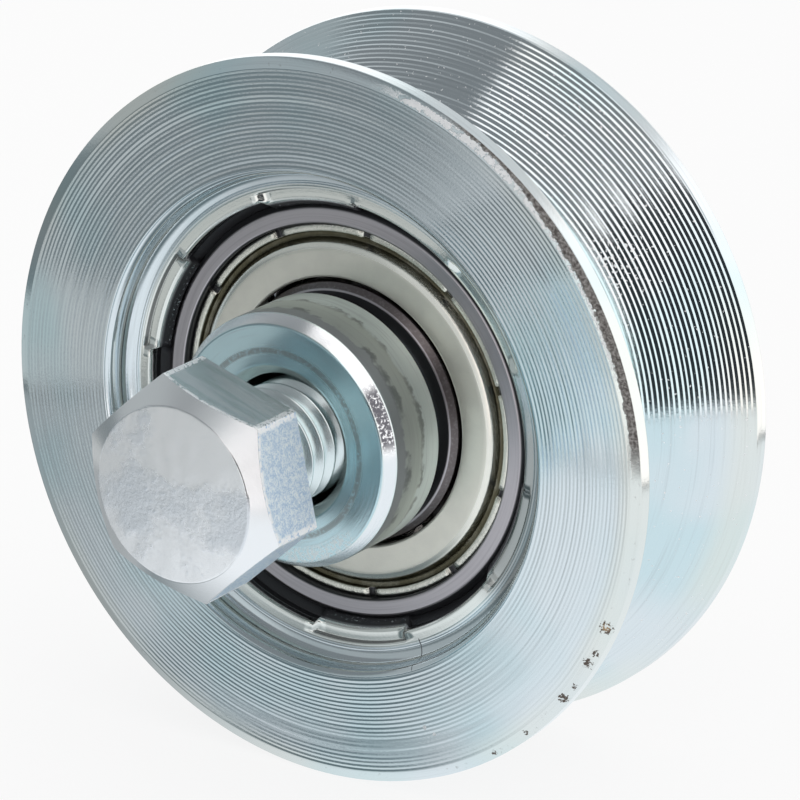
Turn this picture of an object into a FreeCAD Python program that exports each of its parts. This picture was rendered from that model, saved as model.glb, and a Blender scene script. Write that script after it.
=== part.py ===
import FreeCAD, Part
import math
import os

# V-groove rail wheel with a shielded ball bearing, two stepped bushes and a loose axle bolt.
# Millimetres. The wheel turns about the Y axis, its front (the bolt head's side) faces -Y,
# +Z is up, and the origin is the wheel's centre.

# Wheel
WHEEL_RADIUS = 30.0
WHEEL_WIDTH = 20.0
RIM_CHAMFER_RADIAL = 0.9
RIM_CHAMFER_AXIAL = 0.4
RIM_LAND = 1.3
GROOVE_ANGLE = 90.0
GROOVE_ROOT_RADIUS = 1.5
COUNTERBORE_LEDGE = 2.49
COUNTERBORE_DEPTH = 2.33
COUNTERBORE_CORNER = 1.2
COUNTERBORE_CHAMFER = 0.42
SEAT_MOUTH_STEP = 0.6
REAR_SHOULDER = 2.3
REAR_OPENING_CHAMFER = 0.5

# Punched stakes that hold the bearing in the wheel
STAKE_COUNT = 6
STAKE_FIRST_ANGLE = 38.0
STAKE_SWEEP = 28.0
STAKE_WIDTH = 1.15
STAKE_REACH = 0.36
STAKE_DEPTH = 0.45
STAKE_OVERHANG = 0.25
STAKE_TIP = 0.25

# Bearing
BEARING_BORE_RADIUS = 7.5
BEARING_OUTER_RADIUS = 17.5
BEARING_WIDTH = 11.0
BEARING_INSET = 3.75
OUTER_RING_CHAMFER = 0.6
SHIELD_SEAT_STEP = 1.35
SHIELD_SEAT_DEPTH = 1.5
SHIELD_SEAT_CHAMFER = 0.2
INNER_RING_CHAMFER = 0.4
BALL_COUNT = 8
BALL_RADIUS = 2.9765
OUTER_RACE_DEPTH = 1.2265
INNER_RACE_DEPTH = 1.3765
RACE_OPENING = 0.0935
RACE_CLEARANCE = 0.05

# Riveted ribbon cage
CAGE_SHEET = 0.5
CAGE_BAND_WIDTH = 1.6
CAGE_POCKET_CLEARANCE = 0.12
RIVET_EDGE = 0.05
RIVET_HEAD_LEDGE = 0.15
RIVET_HEAD_HEIGHT = 0.35

# Pressed shields
SHIELD_SHEET = 0.3
SHIELD_FACE_DEPTH = 0.35
SHIELD_DIP_DEPTH = 0.95
SHIELD_BEAD_DEPTH = 0.2
SHIELD_BEAD_WIDTH = 0.85
SHIELD_DIP_WIDTH = 0.5
SHIELD_SHOULDER_WIDTH = 0.4
SHIELD_INNER_GAP = 0.35
SHIELD_CURL = 0.6
NOTCH_COUNT = 11
NOTCH_FIRST_ANGLE = 17.2
NOTCH_WIDTH = 0.5
NOTCH_DEPTH = 0.35

# Stepped bushes
BUSH_FLANGE_INSET = 0.35
BUSH_NECK_STEP = 1.2
BUSH_NECK_LENGTH = 1.65
BUSH_STANDOFF = 8.75
BUSH_BOLT_CLEARANCE = 0.65
BUSH_COUNTERSINK = 0.9
BUSH_CHAMFER_RADIAL = 0.72
BUSH_CHAMFER_AXIAL = 1.1
BUSH_EDGE = 0.25
BUSH_SPIGOT_GAP = 0.1

# Axle bolt and nut, M10
THREAD_RADIUS = 4.95
THREAD_CHAMFER = 0.9
BOLT_LENGTH = 50.0
BOLT_STANDOFF = 7.4
BOLT_HEAD_HEIGHT = 6.4
BOLT_HEAD_TURN = -18.0
HEX_ACROSS_FLATS = 16.0
HEX_CHAMFER_RADIUS = 7.6
HEX_CHAMFER_ANGLE = 30.0
NUT_HEIGHT = 8.4
NUT_TURN = 12.0

# Fits
SEAT_CLEARANCE = 0.01
STAKE_CLEARANCE = 0.03
THREAD_CLEARANCE = 0.03

# The bearing's seat opens into a wider mouth, and the counterbore leaves a ledge for the stakes round it
SEAT_RADIUS = BEARING_OUTER_RADIUS + SEAT_CLEARANCE
MOUTH_RADIUS = SEAT_RADIUS + SEAT_MOUTH_STEP
COUNTERBORE_RADIUS = MOUTH_RADIUS + COUNTERBORE_LEDGE

# The balls run midway between the bore and the outer wall, and both rings' races follow them
BALL_PITCH_RADIUS = (BEARING_BORE_RADIUS + BEARING_OUTER_RADIUS) / 2
RACE_GROOVE_RADIUS = BALL_RADIUS + RACE_OPENING
OUTER_RACE_RADIUS = BALL_PITCH_RADIUS + BALL_RADIUS + RACE_CLEARANCE
INNER_RACE_RADIUS = BALL_PITCH_RADIUS - BALL_RADIUS - RACE_CLEARANCE
OUTER_SHOULDER_RADIUS = OUTER_RACE_RADIUS - OUTER_RACE_DEPTH
INNER_RING_RADIUS = INNER_RACE_RADIUS + INNER_RACE_DEPTH
SHIELD_SEAT_RADIUS = OUTER_SHOULDER_RADIUS + SHIELD_SEAT_STEP
REAR_OPENING_RADIUS = BEARING_OUTER_RADIUS - REAR_SHOULDER
RIVET_HEAD_RADIUS = CAGE_BAND_WIDTH / 2 - RIVET_EDGE
RIVET_RADIUS = RIVET_HEAD_RADIUS - RIVET_HEAD_LEDGE

# The bush's collar stays inside the inner ring, clear of the shield, and its bore clears the bolt
BUSH_FLANGE_RADIUS = INNER_RING_RADIUS - BUSH_FLANGE_INSET
BUSH_NECK_RADIUS = BUSH_FLANGE_RADIUS - BUSH_NECK_STEP
BUSH_BORE_RADIUS = THREAD_RADIUS + BUSH_BOLT_CLEARANCE

# Places along the axle
WHEEL_FRONT = -WHEEL_WIDTH / 2
WHEEL_REAR = WHEEL_WIDTH / 2
BEARING_FRONT = WHEEL_FRONT + BEARING_INSET
BEARING_REAR = BEARING_FRONT + BEARING_WIDTH
BEARING_MIDDLE = BEARING_FRONT + BEARING_WIDTH / 2
BOLT_HEAD_UNDERSIDE = BEARING_FRONT - BUSH_STANDOFF - BOLT_STANDOFF
NUT_FRONT = BEARING_REAR + BUSH_STANDOFF

ORIGIN = FreeCAD.Vector(0, 0, 0)
AXLE = FreeCAD.Vector(0, 1, 0)


def point(radius, y):
    return FreeCAD.Vector(radius, y, 0)


def outline(start, *steps):
    """Closed face in the XY plane: a step is the next point, or the middle and end points of an arc."""
    edges = []
    here = point(*start)
    for step in steps + (start,):
        if isinstance(step[0], tuple):
            end = point(*step[1])
            edges.append(Part.Arc(here, point(*step[0]), end).toShape())
        else:
            end = point(*step)
            edges.append(Part.LineSegment(here, end).toShape())
        here = end
    return Part.Face(Part.Wire(edges))


def turned(face, sweep=360.0):
    """Turn a face about the axle."""
    return face.revolve(ORIGIN, AXLE, sweep)


def around(shape, angle):
    """Copy of a shape, moved round the axle by an angle that runs from +X to +Z."""
    copy = shape.copy()
    copy.rotate(ORIGIN, AXLE, -angle)
    return copy


def mirrored(shape):
    """The same piece on the other side of the bearing's middle plane."""
    return shape.mirror(FreeCAD.Vector(0, BEARING_MIDDLE, 0), AXLE)


def arc_sector(face, middle_angle, sweep):
    """Part of a turned ring, centred on an angle."""
    return turned(around(face, middle_angle + sweep / 2), sweep)


def stake_angles():
    return [STAKE_FIRST_ANGLE + 360.0 * i / STAKE_COUNT for i in range(STAKE_COUNT)]


def ball_angles():
    return [360.0 * i / BALL_COUNT for i in range(BALL_COUNT)]


def wheel_blank():
    """Turned wheel: two flanges, the V groove with a round root, counterbore, bearing seat and rear shoulder."""
    half_angle = math.radians(GROOVE_ANGLE / 2)
    land_edge = WHEEL_WIDTH / 2 - RIM_CHAMFER_AXIAL - RIM_LAND
    groove_apex = WHEEL_RADIUS - land_edge / math.tan(half_angle)
    tangent_length = GROOVE_ROOT_RADIUS / math.tan(half_angle)
    tangent_radius = groove_apex + tangent_length * math.cos(half_angle)
    tangent_y = tangent_length * math.sin(half_angle)
    root_radius = groove_apex + GROOVE_ROOT_RADIUS / math.sin(half_angle) - GROOVE_ROOT_RADIUS
    floor = WHEEL_FRONT + COUNTERBORE_DEPTH
    corner_radius = COUNTERBORE_RADIUS - COUNTERBORE_CORNER
    corner_middle = COUNTERBORE_CORNER * (1 - math.sqrt(0.5))
    return turned(outline(
        (COUNTERBORE_RADIUS + COUNTERBORE_CHAMFER, WHEEL_FRONT),
        (WHEEL_RADIUS - RIM_CHAMFER_RADIAL, WHEEL_FRONT),
        (WHEEL_RADIUS, WHEEL_FRONT + RIM_CHAMFER_AXIAL),
        (WHEEL_RADIUS, -land_edge),
        (tangent_radius, -tangent_y),
        ((root_radius, 0), (tangent_radius, tangent_y)),
        (WHEEL_RADIUS, land_edge),
        (WHEEL_RADIUS, WHEEL_REAR - RIM_CHAMFER_AXIAL),
        (WHEEL_RADIUS - RIM_CHAMFER_RADIAL, WHEEL_REAR),
        (REAR_OPENING_RADIUS + REAR_OPENING_CHAMFER, WHEEL_REAR),
        (REAR_OPENING_RADIUS, WHEEL_REAR - REAR_OPENING_CHAMFER),
        (REAR_OPENING_RADIUS, BEARING_REAR),
        (SEAT_RADIUS, BEARING_REAR),
        (SEAT_RADIUS, BEARING_FRONT + OUTER_RING_CHAMFER),
        (MOUTH_RADIUS, BEARING_FRONT + OUTER_RING_CHAMFER - SEAT_MOUTH_STEP),
        (MOUTH_RADIUS, floor),
        (corner_radius, floor),
        ((COUNTERBORE_RADIUS - corner_middle, floor - corner_middle),
         (COUNTERBORE_RADIUS, floor - COUNTERBORE_CORNER)),
        (COUNTERBORE_RADIUS, WHEEL_FRONT + COUNTERBORE_CHAMFER),
    ))


def wheel():
    """The turned wheel with its stakes punched down over the bearing's edge."""
    stake_floor = WHEEL_FRONT + COUNTERBORE_DEPTH + STAKE_DEPTH
    inner_edge = MOUTH_RADIUS - STAKE_REACH
    outer_edge = inner_edge + STAKE_WIDTH
    rooted = (MOUTH_RADIUS + outer_edge) / 2
    tip_radius = SEAT_RADIUS - STAKE_OVERHANG
    chamfer_end = BEARING_FRONT + OUTER_RING_CHAMFER - STAKE_CLEARANCE
    dent = outline(
        (inner_edge, WHEEL_FRONT),
        (outer_edge, WHEEL_FRONT),
        (outer_edge, stake_floor),
        (inner_edge, stake_floor),
    )
    lip = outline(
        (rooted, stake_floor),
        (inner_edge, stake_floor),
        (tip_radius, chamfer_end - STAKE_OVERHANG - STAKE_TIP),
        (tip_radius, chamfer_end - STAKE_OVERHANG),
        (SEAT_RADIUS, chamfer_end),
        (rooted, chamfer_end),
    )
    body = wheel_blank()
    body = body.cut([arc_sector(dent, angle, STAKE_SWEEP) for angle in stake_angles()])
    body = body.fuse([arc_sector(lip, angle, STAKE_SWEEP) for angle in stake_angles()])
    return body.removeSplitter()


def bearing_outer_ring():
    """Outer ring with a ball groove and a stepped seat for a shield at each end."""
    half = BEARING_WIDTH / 2
    bottom = OUTER_RACE_RADIUS
    centre = bottom - RACE_GROOVE_RADIUS
    edge = math.sqrt(RACE_GROOVE_RADIUS ** 2 - (OUTER_SHOULDER_RADIUS - centre) ** 2)
    middle = BEARING_MIDDLE
    return turned(outline(
        (BEARING_OUTER_RADIUS, middle - half + OUTER_RING_CHAMFER),
        (BEARING_OUTER_RADIUS, middle + half - OUTER_RING_CHAMFER),
        (BEARING_OUTER_RADIUS - OUTER_RING_CHAMFER, middle + half),
        (SHIELD_SEAT_RADIUS + SHIELD_SEAT_CHAMFER, middle + half),
        (SHIELD_SEAT_RADIUS, middle + half - SHIELD_SEAT_CHAMFER),
        (SHIELD_SEAT_RADIUS, middle + half - SHIELD_SEAT_DEPTH),
        (OUTER_SHOULDER_RADIUS, middle + half - SHIELD_SEAT_DEPTH),
        (OUTER_SHOULDER_RADIUS, middle + edge),
        ((bottom, middle), (OUTER_SHOULDER_RADIUS, middle - edge)),
        (OUTER_SHOULDER_RADIUS, middle - half + SHIELD_SEAT_DEPTH),
        (SHIELD_SEAT_RADIUS, middle - half + SHIELD_SEAT_DEPTH),
        (SHIELD_SEAT_RADIUS, middle - half + SHIELD_SEAT_CHAMFER),
        (SHIELD_SEAT_RADIUS + SHIELD_SEAT_CHAMFER, middle - half),
        (BEARING_OUTER_RADIUS - OUTER_RING_CHAMFER, middle - half),
    ))


def bearing_inner_ring():
    """Inner ring with a ball groove and chamfered ends."""
    half = BEARING_WIDTH / 2
    bottom = INNER_RACE_RADIUS
    centre = bottom + RACE_GROOVE_RADIUS
    edge = math.sqrt(RACE_GROOVE_RADIUS ** 2 - (centre - INNER_RING_RADIUS) ** 2)
    middle = BEARING_MIDDLE
    chamfer = INNER_RING_CHAMFER
    return turned(outline(
        (BEARING_BORE_RADIUS, middle - half + chamfer),
        (BEARING_BORE_RADIUS + chamfer, middle - half),
        (INNER_RING_RADIUS - chamfer, middle - half),
        (INNER_RING_RADIUS, middle - half + chamfer),
        (INNER_RING_RADIUS, middle - edge),
        ((bottom, middle), (INNER_RING_RADIUS, middle + edge)),
        (INNER_RING_RADIUS, middle + half - chamfer),
        (INNER_RING_RADIUS - chamfer, middle + half),
        (BEARING_BORE_RADIUS + chamfer, middle + half),
        (BEARING_BORE_RADIUS, middle + half - chamfer),
    ))


def bearing_ball(angle):
    ball = Part.makeSphere(BALL_RADIUS, FreeCAD.Vector(BALL_PITCH_RADIUS, BEARING_MIDDLE, 0))
    return around(ball, angle)


def rivet_angles():
    return [angle + 180.0 / BALL_COUNT for angle in ball_angles()]


def cage_half():
    """Rear half of the cage: a flat ribbon pressed into a round pocket behind each ball, with rivet holes."""
    inner = BALL_PITCH_RADIUS - CAGE_BAND_WIDTH / 2
    outer = BALL_PITCH_RADIUS + CAGE_BAND_WIDTH / 2
    pocket_radius = BALL_RADIUS + CAGE_POCKET_CLEARANCE
    crown_radius = pocket_radius + CAGE_SHEET
    ribbon = outline(
        (inner, BEARING_MIDDLE),
        (outer, BEARING_MIDDLE),
        (outer, BEARING_MIDDLE + CAGE_SHEET),
        (inner, BEARING_MIDDLE + CAGE_SHEET),
    )
    room = outline(
        (inner, BEARING_MIDDLE),
        (outer, BEARING_MIDDLE),
        (outer, BEARING_MIDDLE + crown_radius),
        (inner, BEARING_MIDDLE + crown_radius),
    )
    centre = FreeCAD.Vector(BALL_PITCH_RADIUS, BEARING_MIDDLE, 0)
    crown = Part.makeSphere(crown_radius, centre).common(turned(room))
    pocket = Part.makeSphere(pocket_radius, centre)
    hole_start = FreeCAD.Vector(BALL_PITCH_RADIUS, BEARING_MIDDLE - CAGE_SHEET, 0)
    hole = Part.makeCylinder(RIVET_RADIUS, 3 * CAGE_SHEET, hole_start, AXLE)
    half = turned(ribbon).fuse([around(crown, angle) for angle in ball_angles()])
    half = half.cut([around(pocket, angle) for angle in ball_angles()])
    half = half.cut([around(hole, angle) for angle in rivet_angles()])
    return half.removeSplitter()


def cage_rivets():
    """One round-headed rivet between each pair of balls."""
    length = CAGE_SHEET + RIVET_HEAD_HEIGHT
    neck = FreeCAD.Vector(BALL_PITCH_RADIUS, BEARING_MIDDLE - length, 0)
    shank = Part.makeCylinder(RIVET_RADIUS - SEAT_CLEARANCE, 2 * length, neck, AXLE)
    head_start = FreeCAD.Vector(BALL_PITCH_RADIUS, BEARING_MIDDLE + CAGE_SHEET, 0)
    head = Part.makeCylinder(RIVET_HEAD_RADIUS, RIVET_HEAD_HEIGHT, head_start, AXLE)
    rivet = shank.fuse([head, mirrored(head)]).removeSplitter()
    return Part.makeCompound([around(rivet, angle) for angle in rivet_angles()])


def front_shield():
    """Pressed sheet ring: rolled rim bead with notches, a dip, a raised flat face and an edge that curls in."""
    rim = SHIELD_SEAT_RADIUS - SEAT_CLEARANCE
    bead = rim - SHIELD_BEAD_WIDTH
    dip = bead - SHIELD_DIP_WIDTH
    shoulder = dip - SHIELD_SHOULDER_WIDTH
    inner = INNER_RING_RADIUS + SHIELD_INNER_GAP
    bead_y = BEARING_FRONT + SHIELD_BEAD_DEPTH
    dip_y = BEARING_FRONT + SHIELD_DIP_DEPTH
    face_y = BEARING_FRONT + SHIELD_FACE_DEPTH
    seat_y = BEARING_FRONT + SHIELD_SEAT_DEPTH
    bead_middle = (rim + bead) / 2
    sheet = SHIELD_SHEET
    ring = turned(outline(
        (rim, seat_y),
        (rim, bead_y + SHIELD_BEAD_WIDTH / 2),
        ((bead_middle, bead_y), (bead, bead_y + SHIELD_BEAD_WIDTH / 2)),
        (bead, dip_y),
        (dip, dip_y),
        (shoulder, face_y),
        (inner + SHIELD_CURL, face_y),
        ((inner + SHIELD_CURL * (1 - math.sqrt(0.5)), face_y + SHIELD_CURL * (1 - math.sqrt(0.5))),
         (inner, face_y + SHIELD_CURL)),
        (inner + sheet, face_y + SHIELD_CURL),
        (inner + SHIELD_CURL, face_y + sheet),
        (shoulder - sheet / 2, face_y + sheet),
        (dip - sheet / 2, dip_y + sheet),
        (bead + sheet, dip_y + sheet),
        (bead + sheet, seat_y),
    ))
    notch_start = FreeCAD.Vector(bead - sheet, bead_y - NOTCH_DEPTH, -NOTCH_WIDTH / 2)
    notch = Part.makeBox(SHIELD_BEAD_WIDTH + 2 * sheet, 2 * NOTCH_DEPTH, NOTCH_WIDTH, notch_start)
    angles = [NOTCH_FIRST_ANGLE + 360.0 * i / NOTCH_COUNT for i in range(NOTCH_COUNT)]
    return ring.cut([around(notch, angle) for angle in angles])


def front_bush():
    """Stepped bush: spigot in the inner ring, a neck against it, and a wide collar that stands clear."""
    spigot_radius = BEARING_BORE_RADIUS - SEAT_CLEARANCE
    spigot_end = BEARING_MIDDLE - BUSH_SPIGOT_GAP
    collar_rear = BEARING_FRONT - BUSH_NECK_LENGTH
    face = BEARING_FRONT - BUSH_STANDOFF
    return turned(outline(
        (BUSH_BORE_RADIUS + BUSH_COUNTERSINK, face),
        (BUSH_FLANGE_RADIUS - BUSH_CHAMFER_RADIAL, face),
        (BUSH_FLANGE_RADIUS, face + BUSH_CHAMFER_AXIAL),
        (BUSH_FLANGE_RADIUS, collar_rear - BUSH_EDGE),
        (BUSH_FLANGE_RADIUS - BUSH_EDGE, collar_rear),
        (BUSH_NECK_RADIUS, collar_rear),
        (BUSH_NECK_RADIUS, BEARING_FRONT),
        (spigot_radius, BEARING_FRONT),
        (spigot_radius, spigot_end - BUSH_EDGE),
        (spigot_radius - BUSH_EDGE, spigot_end),
        (BUSH_BORE_RADIUS, spigot_end),
        (BUSH_BORE_RADIUS, face + BUSH_COUNTERSINK),
    ))


def hexagon(front, height, turn):
    """Hexagonal prism along the axle."""
    corner_radius = HEX_ACROSS_FLATS / 2 / math.cos(math.pi / 6)
    corners = []
    for i in range(6):
        angle = math.radians(60 * i)
        corners.append(FreeCAD.Vector(corner_radius * math.cos(angle), front, corner_radius * math.sin(angle)))
    prism = Part.Face(Part.makePolygon(corners + corners[:1])).extrude(AXLE * height)
    return around(prism, turn)


def corner_cone(flat_end, height, direction):
    """Cone that rounds off a hexagon's corners at one end."""
    spread = height / math.tan(math.radians(HEX_CHAMFER_ANGLE))
    start = FreeCAD.Vector(0, flat_end, 0)
    return Part.makeCone(HEX_CHAMFER_RADIUS, HEX_CHAMFER_RADIUS + spread, height, start, direction)


def axle_bolt():
    """Hexagon bolt; the shank is drawn at the thread's outer radius."""
    head_front = BOLT_HEAD_UNDERSIDE - BOLT_HEAD_HEIGHT
    head = hexagon(head_front, BOLT_HEAD_HEIGHT, BOLT_HEAD_TURN)
    head = head.common(corner_cone(head_front, BOLT_HEAD_HEIGHT, AXLE))
    end = BOLT_HEAD_UNDERSIDE + BOLT_LENGTH
    shank = turned(outline(
        (0, BOLT_HEAD_UNDERSIDE),
        (THREAD_RADIUS, BOLT_HEAD_UNDERSIDE),
        (THREAD_RADIUS, end - THREAD_CHAMFER),
        (THREAD_RADIUS - THREAD_CHAMFER, end),
        (0, end),
    ))
    return head.fuse(shank).removeSplitter()


def axle_nut():
    """Hexagon nut, chamfered on both faces, with countersunk thread ends."""
    bore_radius = THREAD_RADIUS + THREAD_CLEARANCE
    countersink = THREAD_CHAMFER / 2
    rear = NUT_FRONT + NUT_HEIGHT
    body = hexagon(NUT_FRONT, NUT_HEIGHT, NUT_TURN)
    body = body.common(corner_cone(NUT_FRONT, NUT_HEIGHT, AXLE))
    body = body.common(corner_cone(rear, NUT_HEIGHT, AXLE * -1))
    bore = turned(outline(
        (0, NUT_FRONT),
        (bore_radius + countersink, NUT_FRONT),
        (bore_radius, NUT_FRONT + countersink),
        (bore_radius, rear - countersink),
        (bore_radius + countersink, rear),
        (0, rear),
    ))
    return body.cut(bore)


def all_pieces():
    rear_half = cage_half()
    shield = front_shield()
    bush = front_bush()
    pieces = {
        "wheel": wheel(),
        "bearing_outer_ring": bearing_outer_ring(),
        "bearing_inner_ring": bearing_inner_ring(),
        "cage_front_half": mirrored(rear_half),
        "cage_rear_half": rear_half,
        "cage_rivets": cage_rivets(),
        "front_shield": shield,
        "rear_shield": mirrored(shield),
        "front_bush": bush,
        "rear_bush": mirrored(bush),
        "axle_bolt": axle_bolt(),
        "axle_nut": axle_nut(),
    }
    for number, angle in enumerate(ball_angles(), start=1):
        pieces[f"bearing_ball_{number}"] = bearing_ball(angle)
    return pieces


def main():
    os.makedirs("parts", exist_ok=True)
    for name, shape in all_pieces().items():
        solids = len(shape.Solids)
        print(f"{name}: {solids} solid, valid {shape.isValid()}, volume {shape.Volume:.2f} mm3")
        shape.exportStep(f"parts/{name}.step")


if __name__ == "__main__":
    main()
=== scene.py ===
"""V-groove rail wheel with a staked ball bearing, two bushes and a loose axle bolt."""

import math
import random

import bmesh
import bpy
from bpy.props import FloatProperty, FloatVectorProperty, IntProperty, PointerProperty
from mathutils import Matrix, Vector, noise


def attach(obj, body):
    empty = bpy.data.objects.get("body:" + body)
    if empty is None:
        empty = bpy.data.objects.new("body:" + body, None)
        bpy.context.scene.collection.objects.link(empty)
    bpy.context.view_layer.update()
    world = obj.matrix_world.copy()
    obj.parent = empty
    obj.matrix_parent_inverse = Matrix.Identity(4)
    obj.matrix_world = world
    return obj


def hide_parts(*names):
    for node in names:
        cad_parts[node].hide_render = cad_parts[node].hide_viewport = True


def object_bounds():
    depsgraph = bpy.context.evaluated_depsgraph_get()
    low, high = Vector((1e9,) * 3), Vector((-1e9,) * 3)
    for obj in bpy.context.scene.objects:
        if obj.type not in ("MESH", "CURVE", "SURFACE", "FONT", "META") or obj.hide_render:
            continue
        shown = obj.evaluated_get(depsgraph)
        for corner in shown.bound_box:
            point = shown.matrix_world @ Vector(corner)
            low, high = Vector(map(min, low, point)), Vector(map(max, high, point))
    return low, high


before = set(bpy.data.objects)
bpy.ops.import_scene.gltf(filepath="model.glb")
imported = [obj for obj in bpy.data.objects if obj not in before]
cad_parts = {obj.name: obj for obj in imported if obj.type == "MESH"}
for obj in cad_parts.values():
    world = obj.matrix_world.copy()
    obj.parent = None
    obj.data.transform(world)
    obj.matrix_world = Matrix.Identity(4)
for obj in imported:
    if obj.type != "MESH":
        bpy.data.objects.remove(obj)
CAD_BOX = [list(corner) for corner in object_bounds()]

bl_info = {
    "name": "Rail wheel",
    "version": (1, 0, 0),
    "blender": (4, 5, 0),
    "location": "View3D > Sidebar > Rail wheel",
    "description": "Builds a zinc-plated V-groove wheel, its bearing, bushes, bolt and studio",
    "category": "Object",
}

# Shapes are drawn in millimetres, with the axle along Y and the front towards -Y
MM = 0.001
AXLE = Vector((0, 1, 0))
BEARING_MIDDLE = -0.75
BEARING_HALF = 5.5
RACE_RADIUS = 3.07
OUTER_RACE = 15.5265
INNER_RACE = 9.4735
HEAD_FRONT = -28.8
HEAD_UNDER = -22.4
HEAD_STEP = 0.07
THREAD_ENDS = (-22.6, 27.6)
THREAD_CREST = 4.95
NUT_FACES = (13.5, 21.9)
NUT_BORE = 5.0
HEX_FLATS = 16.0
HEX_SLOPE = math.tan(math.radians(30))
# Round discs on the faces of the head and the nut, as (x, z, radius)
HEAD_DISC = (-0.22, -0.12, 7.15)
NUT_DISC = (0.0, 0.0, 7.6)


def length(name, description, millimetres):
    return FloatProperty(name=name, description=description, default=millimetres * MM,
                         min=0.0, precision=5, unit="LENGTH", subtype="DISTANCE")


def angle(name, description, degrees):
    return FloatProperty(name=name, description=description, default=math.radians(degrees),
                         unit="ROTATION", subtype="ANGLE")


def colour(name, description, value):
    return FloatVectorProperty(name=name, description=description, default=value,
                               min=0.0, max=1.0, size=3, subtype="COLOR")


class WheelSizes(bpy.types.PropertyGroup):
    """Turned wheel."""
    steps: IntProperty(name="Steps", description="Steps round the wheel", default=180, min=60)
    face_pitch: length("Face feed", "Distance between the turning marks on the front face", 0.338)
    face_depth: length("Face mark depth", "Depth of the turning marks on the flat faces", 0.028)
    flank_pitch: length("Groove feed", "Distance between the turning marks in the groove", 0.42)
    flank_depth: length("Groove mark depth", "Depth of the turning marks in the groove", 0.04)
    back_pitch: length("Rear feed", "Distance between the turning marks on the rear face", 0.45)
    stake_sweep: angle("Stake sweep", "Angle that one stake takes up", 28.0)
    stake_first: angle("First stake", "Angle of the first stake from +X towards +Z", 38.0)


class BearingSizes(bpy.types.PropertyGroup):
    """Bearing rings and shields."""
    steps: IntProperty(name="Steps", description="Steps round a ring", default=264, min=48)
    notches: IntProperty(name="Notches", description="Notches in a shield's rim", default=11, min=1)
    notch_first: angle("First notch", "Angle of the first notch from +X towards +Z", 17.2)
    notch_depth: length("Notch depth", "Depth of a notch in the rolled rim", 0.5)


class AxleSizes(bpy.types.PropertyGroup):
    """Bushes, bolt and nut."""
    steps: IntProperty(name="Steps", description="Steps round a bush", default=192, min=48)
    thread_pitch: length("Thread pitch", "Distance between two thread crests", 1.5)
    thread_depth: length("Thread depth", "Depth of the thread", 0.85)
    edge_round: length("Edge round", "Round on the edges of the bolt's head and the nut", 0.2)


class Finishes(bpy.types.PropertyGroup):
    """Colours of the metal finishes."""
    zinc: colour("Zinc", "Bright blue-white zinc plating", (0.74, 0.80, 0.83))
    zinc_teal: colour("Teal cast", "Teal cast of the passivated zinc", (0.60, 0.76, 0.80))
    zinc_warm: colour("Warm cast", "Yellowish cast of the zinc near the rims", (0.83, 0.82, 0.73))
    zinc_dark: colour("Dark zinc", "Dull streaks in the zinc", (0.46, 0.50, 0.52))
    rust: colour("Rust", "Rust in the pits of the rim", (0.115, 0.09, 0.075))
    scale: colour("Scale", "Dark scale where the plating is worn off the rims", (0.085, 0.075, 0.07))
    # Near-black of the painted shade in the bearing seat, the stake pockets, the bearing's gaps and the
    # shields' notches; also the colour of the crack in the counterbore
    shade_and_crack_black: colour("Oxide", "Dark oily steel in the bearing seat", (0.042, 0.043, 0.048))
    ring_steel: colour("Ring steel", "Ground steel of the bearing rings", (0.52, 0.495, 0.52))
    ball_steel: colour("Ball steel", "Polished balls", (0.66, 0.66, 0.67))
    cage_steel: colour("Cage steel", "Pressed cage and rivets", (0.52, 0.50, 0.46))
    shield: colour("Shield", "Champagne plating of the shields", (0.82, 0.81, 0.73))
    bolt: colour("Bolt", "Dull zinc of the bolt and nut", (0.93, 0.94, 0.955))


class StageSettings(bpy.types.PropertyGroup):
    """Camera and studio."""
    lens: FloatProperty(name="Lens", description="Focal length in millimetres", default=211.98)
    azimuth: angle("Azimuth", "Camera's angle from the front towards +X", 33.87)
    elevation: angle("Elevation", "Camera's angle above the floor", 19.03)
    floor: colour("Floor", "Colour of the floor", (0.9, 0.9, 0.9))


# Materials


class Wire:
    """An output socket; arithmetic on it adds Math nodes."""

    def __init__(self, finish, socket):
        self.finish = finish
        self.socket = socket

    def maths(self, operation, *values):
        sockets = dict(enumerate(values))
        return self.finish.node("ShaderNodeMath", {"operation": operation}, sockets)

    def __add__(self, other):
        return self.maths("ADD", self, other)

    __radd__ = __add__

    def __sub__(self, other):
        return self.maths("SUBTRACT", self, other)

    def __rsub__(self, other):
        return self.maths("SUBTRACT", other, self)

    def __mul__(self, other):
        return self.maths("MULTIPLY", self, other)

    def __truediv__(self, other):
        return self.maths("DIVIDE", self, other)

    def __pow__(self, other):
        return self.maths("POWER", self, other)


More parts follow.
